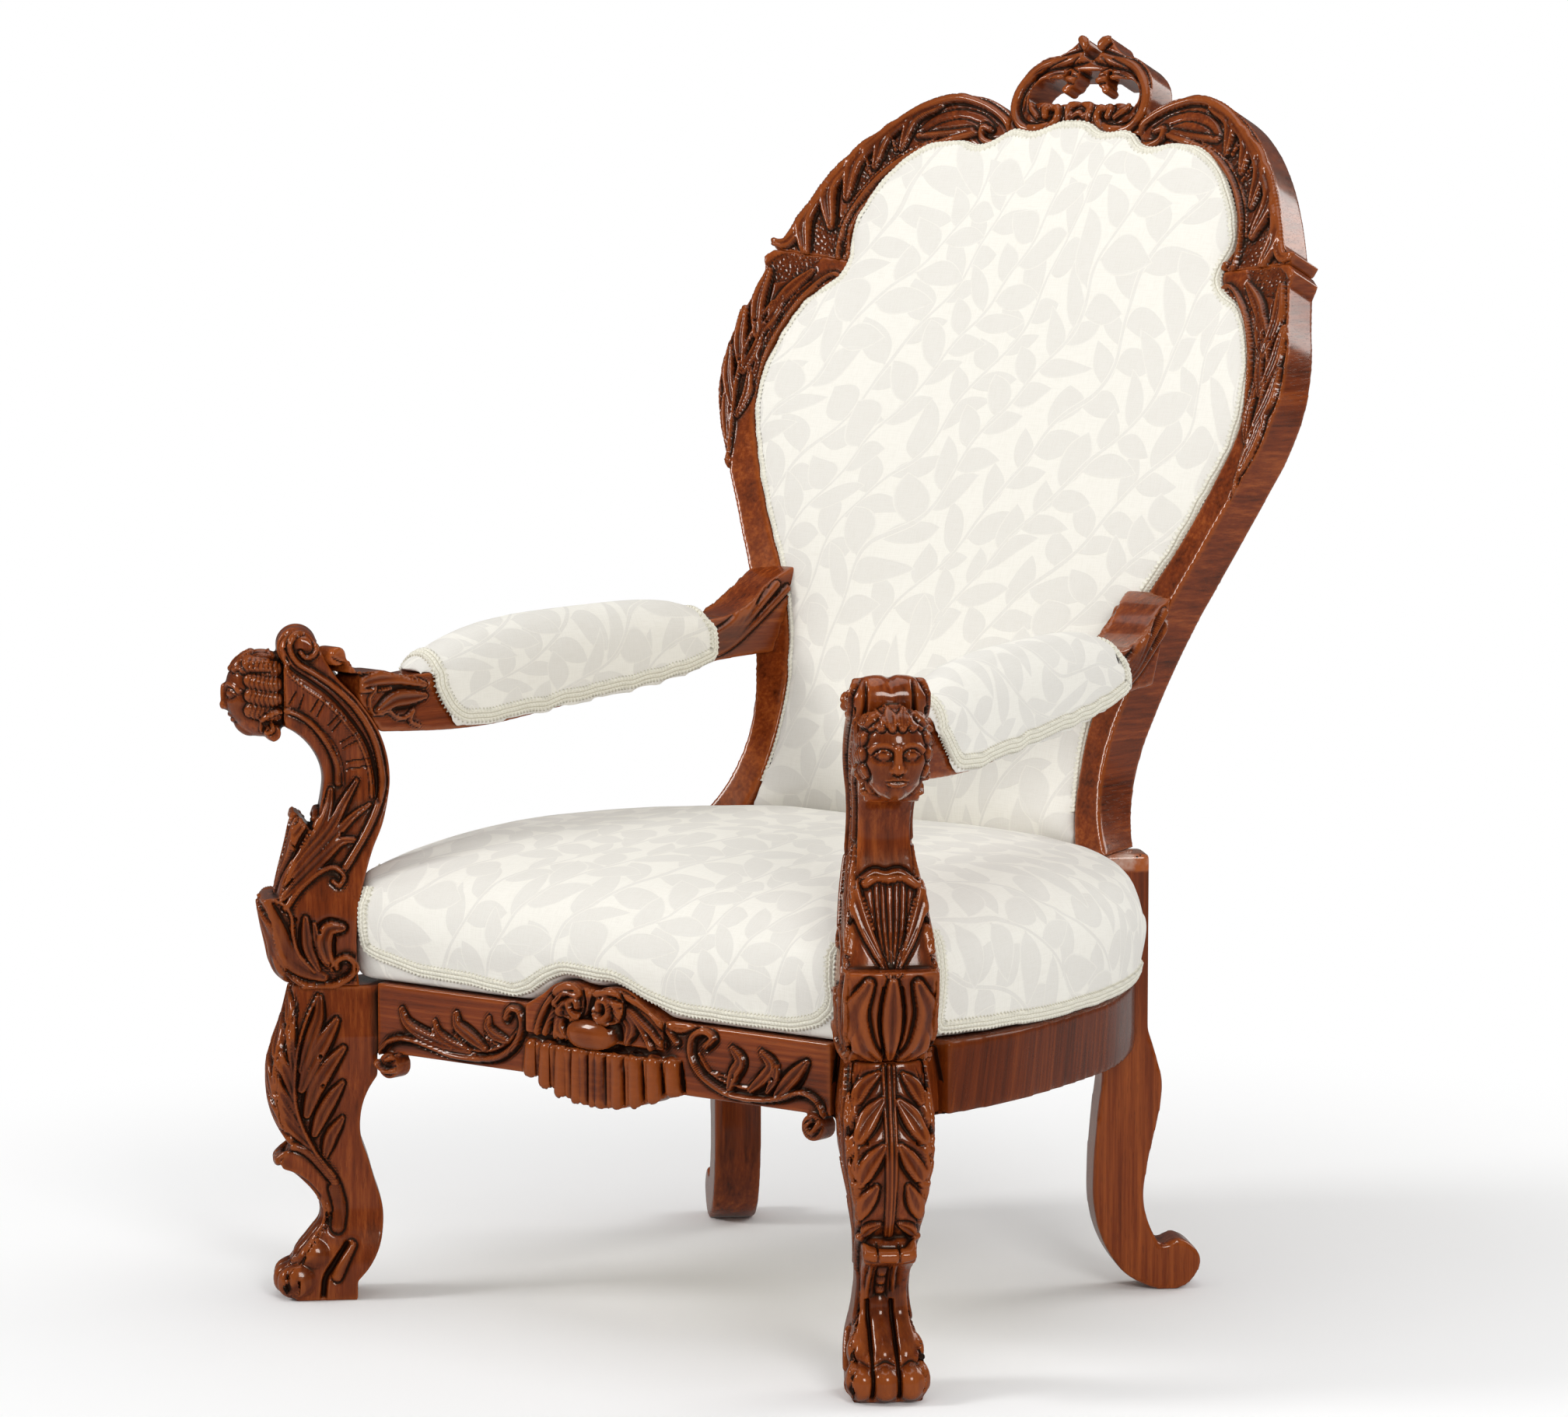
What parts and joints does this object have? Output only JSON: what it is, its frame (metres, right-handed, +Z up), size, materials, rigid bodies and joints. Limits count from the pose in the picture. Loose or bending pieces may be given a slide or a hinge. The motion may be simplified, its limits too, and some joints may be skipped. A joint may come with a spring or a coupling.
{
  "type": "carved open armchair",
  "caption": "Open armchair with carved cabriole legs, mask-headed scrolled arm supports, a raked balloon back with a pierced crest, and stuffed seat, back and arm pads.",
  "frame": {"origin": "on the floor, in the middle of the chair's width and depth", "axes": "+X to the right in the picture's view, across the chair; +Y from the front to the back; +Z up"},
  "size_m": [0.8042, 0.8839, 1.1751],
  "materials": {
    "mahogany": "french polished, dark in the carving",
    "cover_fabric": "cream cotton with a woven leaf pattern",
    "webbing": "plain jute webbing",
    "hessian": "coarse woven hessian",
    "cotton_cloth": "plain cream cotton",
    "glue_block_pine": "unfinished softwood",
    "dowel_beech": "unfinished hardwood"
  },
  "bodies": {
    "root": {"front_leg_right": "mahogany", "front_leg_left": "mahogany", "arm_support_right": "mahogany", "arm_support_left": "mahogany", "arm_right": "mahogany", "arm_left": "mahogany", "arm_pad_right": "cover_fabric", "arm_pad_left": "cover_fabric", "side_rail_right": "mahogany", "side_rail_left": "mahogany", "rear_leg_right": "mahogany", "rear_leg_left": "mahogany", "back_stile_right": "mahogany", "back_stile_left": "mahogany", "back_shoulder_right": "mahogany", "back_shoulder_left": "mahogany", "back_crest": "mahogany", "back_lower_rail": "mahogany", "front_rail": "mahogany", "rear_rail": "mahogany", "front_corner_block_right": "glue_block_pine", "front_corner_block_left": "glue_block_pine", "rear_corner_block_right": "glue_block_pine", "rear_corner_block_left": "glue_block_pine", "rail_dowels": "dowel_beech", "arm_support_dowels": "dowel_beech", "seat_platform_cloth": "hessian", "seat_webbing": "webbing", "seat_cushion": "cover_fabric", "undercloth": "cotton_cloth", "back_cushion": "cover_fabric", "back_webbing": "webbing", "outside_back_cloth": "cover_fabric"}
  },
  "joints": []
}
